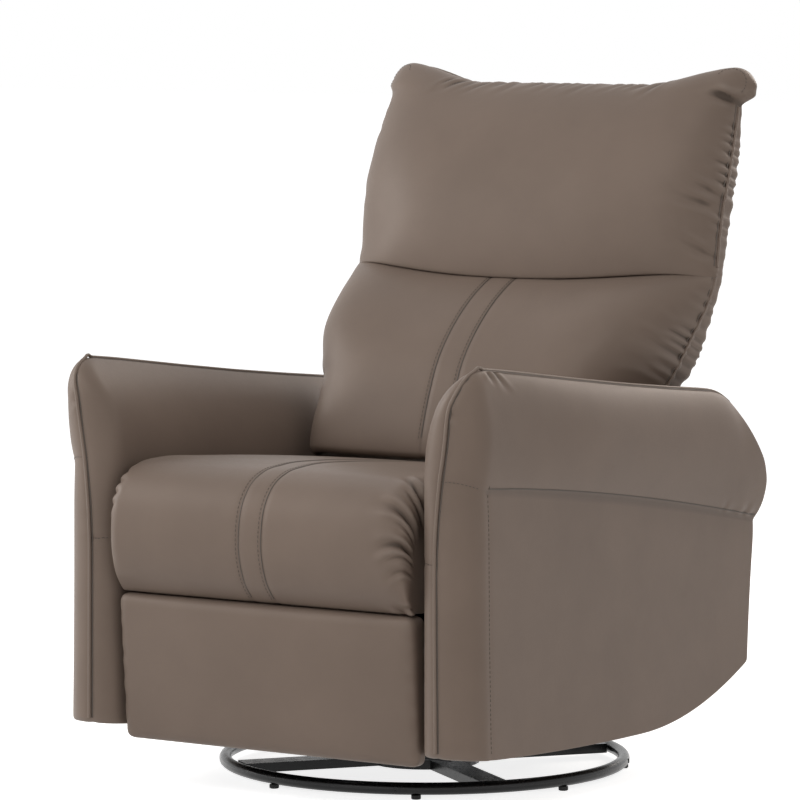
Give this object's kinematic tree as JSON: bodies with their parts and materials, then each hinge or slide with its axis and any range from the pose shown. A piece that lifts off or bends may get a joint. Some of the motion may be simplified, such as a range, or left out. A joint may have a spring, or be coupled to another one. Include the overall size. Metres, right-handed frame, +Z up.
{
  "type": "power swivel rocker recliner",
  "caption": "Upholstered power recliner armchair on a black ring base that swivels and rocks, with a lean-back cushioned back and a fold-out footrest.",
  "frame": {"origin": "on the floor under the swivel's axis, which is the middle of the chair's footprint", "axes": "+Z up, the chair faces -Y, +X is the left hand of the person sitting in it"},
  "size_m": [0.7488, 0.9004, 1.0143],
  "materials": {
    "taupe_coated_fabric": "satin taupe polyurethane-coated fabric",
    "gloss_black_steel": "gloss black paint",
    "dark_painted_steel": "satin black paint",
    "zinc_plated_steel": "zinc plated",
    "frame_timber": "plain sawn",
    "black_plastic": "fine matt",
    "black_rubber": "matt",
    "elastic_webbing": "woven"
  },
  "bodies": {
    "base": {"base_ring": "gloss_black_steel", "base_cross": "gloss_black_steel", "base_glide_1": "black_rubber", "base_glide_2": "black_rubber", "base_glide_3": "black_rubber", "base_glide_4": "black_rubber", "base_glide_5": "black_rubber", "base_glide_6": "black_rubber", "base_glide_7": "black_rubber", "base_glide_8": "black_rubber", "swivel_lower_race": "zinc_plated_steel"},
    "turntable": {"swivel_upper_race": "zinc_plated_steel", "rocker_base_frame": "dark_painted_steel"},
    "chair": {"rocker_arm_left": "dark_painted_steel", "rocker_arm_right": "dark_painted_steel", "mechanism_base_left": "dark_painted_steel", "mechanism_base_right": "dark_painted_steel", "front_cross_tube": "dark_painted_steel", "rear_cross_tube": "dark_painted_steel", "arm_frame_left": "frame_timber", "arm_frame_right": "frame_timber", "arm_body_left": "taupe_coated_fabric", "arm_body_right": "taupe_coated_fabric", "arm_pad_left": "taupe_coated_fabric", "arm_pad_right": "taupe_coated_fabric", "rear_panel": "taupe_coated_fabric", "control_plate": "black_plastic", "rocker_spring_front": "zinc_plated_steel", "rocker_spring_rear": "zinc_plated_steel"},
    "recline_button": {"recline_button": "black_plastic"},
    "return_button": {"return_button": "black_plastic"},
    "rear_swing_links": {"rear_swing_link_left": "dark_painted_steel", "rear_swing_link_right": "dark_painted_steel"},
    "front_swing_links": {"front_swing_link_left": "dark_painted_steel", "front_swing_link_right": "dark_painted_steel"},
    "seat_carriage": {"seat_plate_left": "dark_painted_steel", "seat_plate_right": "dark_painted_steel", "seat_front_rail": "frame_timber", "seat_rear_rail": "frame_timber", "seat_webbing": "elastic_webbing", "seat_cushion": "taupe_coated_fabric", "recline_motor": "black_plastic", "actuator_rail": "zinc_plated_steel"},
    "drive_block": {"drive_block": "black_plastic"},
    "ottoman_drive": {"ottoman_link_left": "dark_painted_steel", "ottoman_link_right": "dark_painted_steel", "footrest_drive_tube": "dark_painted_steel"},
    "couplers": {"coupler_link_left": "dark_painted_steel", "coupler_link_right": "dark_painted_steel"},
    "front_links": {"front_link_left": "dark_painted_steel", "front_link_right": "dark_painted_steel"},
    "footrest": {"footrest_bracket_left": "dark_painted_steel", "footrest_bracket_right": "dark_painted_steel", "footrest_panel": "taupe_coated_fabric"},
    "back": {"back_frame": "frame_timber", "back_bracket_left": "dark_painted_steel", "back_bracket_right": "dark_painted_steel", "back_shell": "taupe_coated_fabric", "lumbar_cushion": "taupe_coated_fabric", "head_pillow": "taupe_coated_fabric"}
  },
  "joints": [
    {"name": "swivel", "type": "hinge", "parent": "base", "child": "turntable", "pos_m": [0, 0, 0.0368], "axis": [0, 0, 1], "continuous": true},
    {"name": "rock", "type": "hinge", "parent": "turntable", "child": "chair", "pos_m": [0, 0, 0.1], "axis": [1, 0, 0], "range_deg": [-7, 7], "stiffness_Nm_per_rad": 900, "deforming": ["rocker_spring_front", "rocker_spring_rear"]},
    {"name": "recline_press", "type": "slide", "parent": "chair", "child": "recline_button", "axis": [1, 0, 0], "range_m": [0, 0.002], "stiffness_N_per_m": 500},
    {"name": "return_press", "type": "slide", "parent": "chair", "child": "return_button", "axis": [1, 0, 0], "range_m": [0, 0.002], "stiffness_N_per_m": 500},
    {"name": "rear_swing", "type": "hinge", "parent": "chair", "child": "rear_swing_links", "pos_m": [0, 0.06, 0.22358], "axis": [1, 0, 0], "range_deg": [0, 13]},
    {"name": "front_swing", "type": "hinge", "parent": "chair", "child": "front_swing_links", "pos_m": [0, -0.16, 0.22358], "axis": [1, 0, 0], "range_deg": [0, 13]},
    {"name": "seat_level", "type": "hinge", "parent": "rear_swing_links", "child": "seat_carriage", "pos_m": [0, 0.07019, 0.313], "axis": [-1, 0, 0], "range_deg": [0, 13]},
    {"name": "recline", "type": "hinge", "parent": "seat_carriage", "child": "back", "pos_m": [0, 0.145, 0.328], "axis": [-1, 0, 0], "range_deg": [0, 34]},
    {"name": "drive", "type": "slide", "parent": "seat_carriage", "child": "drive_block", "axis": [0, -1, 0], "range_m": [0, 0.0755]},
    {"name": "ottoman", "type": "hinge", "parent": "seat_carriage", "child": "ottoman_drive", "pos_m": [0, -0.27, 0.255], "axis": [-1, 0, 0], "range_deg": [0, 100]},
    {"name": "front_link", "type": "hinge", "parent": "seat_carriage", "child": "front_links", "pos_m": [0, -0.30792, 0.27999], "axis": [-1, 0, 0], "range_deg": [0, 103.91]},
    {"name": "coupler", "type": "hinge", "parent": "ottoman_drive", "child": "couplers", "pos_m": [0, -0.22729, 0.09562], "axis": [1, 0, 0], "range_deg": [0, 124.7]},
    {"name": "footrest_tilt", "type": "hinge", "parent": "couplers", "child": "footrest", "pos_m": [0, -0.33998, 0.25477], "axis": [-1, 0, 0], "range_deg": [0, 114.7]}
  ],
  "couplings": [
    {"joint": "rear_swing", "follows": "recline", "ratio": 0.38235},
    {"joint": "front_swing", "follows": "recline", "ratio": 0.38235},
    {"joint": "seat_level", "follows": "recline", "ratio": 0.38235},
    {"joint": "ottoman", "follows": "recline", "ratio": 2.9412},
    {"joint": "coupler", "follows": "recline", "ratio": 3.6676},
    {"joint": "footrest_tilt", "follows": "recline", "ratio": 3.3735},
    {"joint": "front_link", "follows": "recline", "ratio": 3.056},
    {"joint": "drive", "follows": "recline", "m_per_rad": 0.12713}
  ]
}
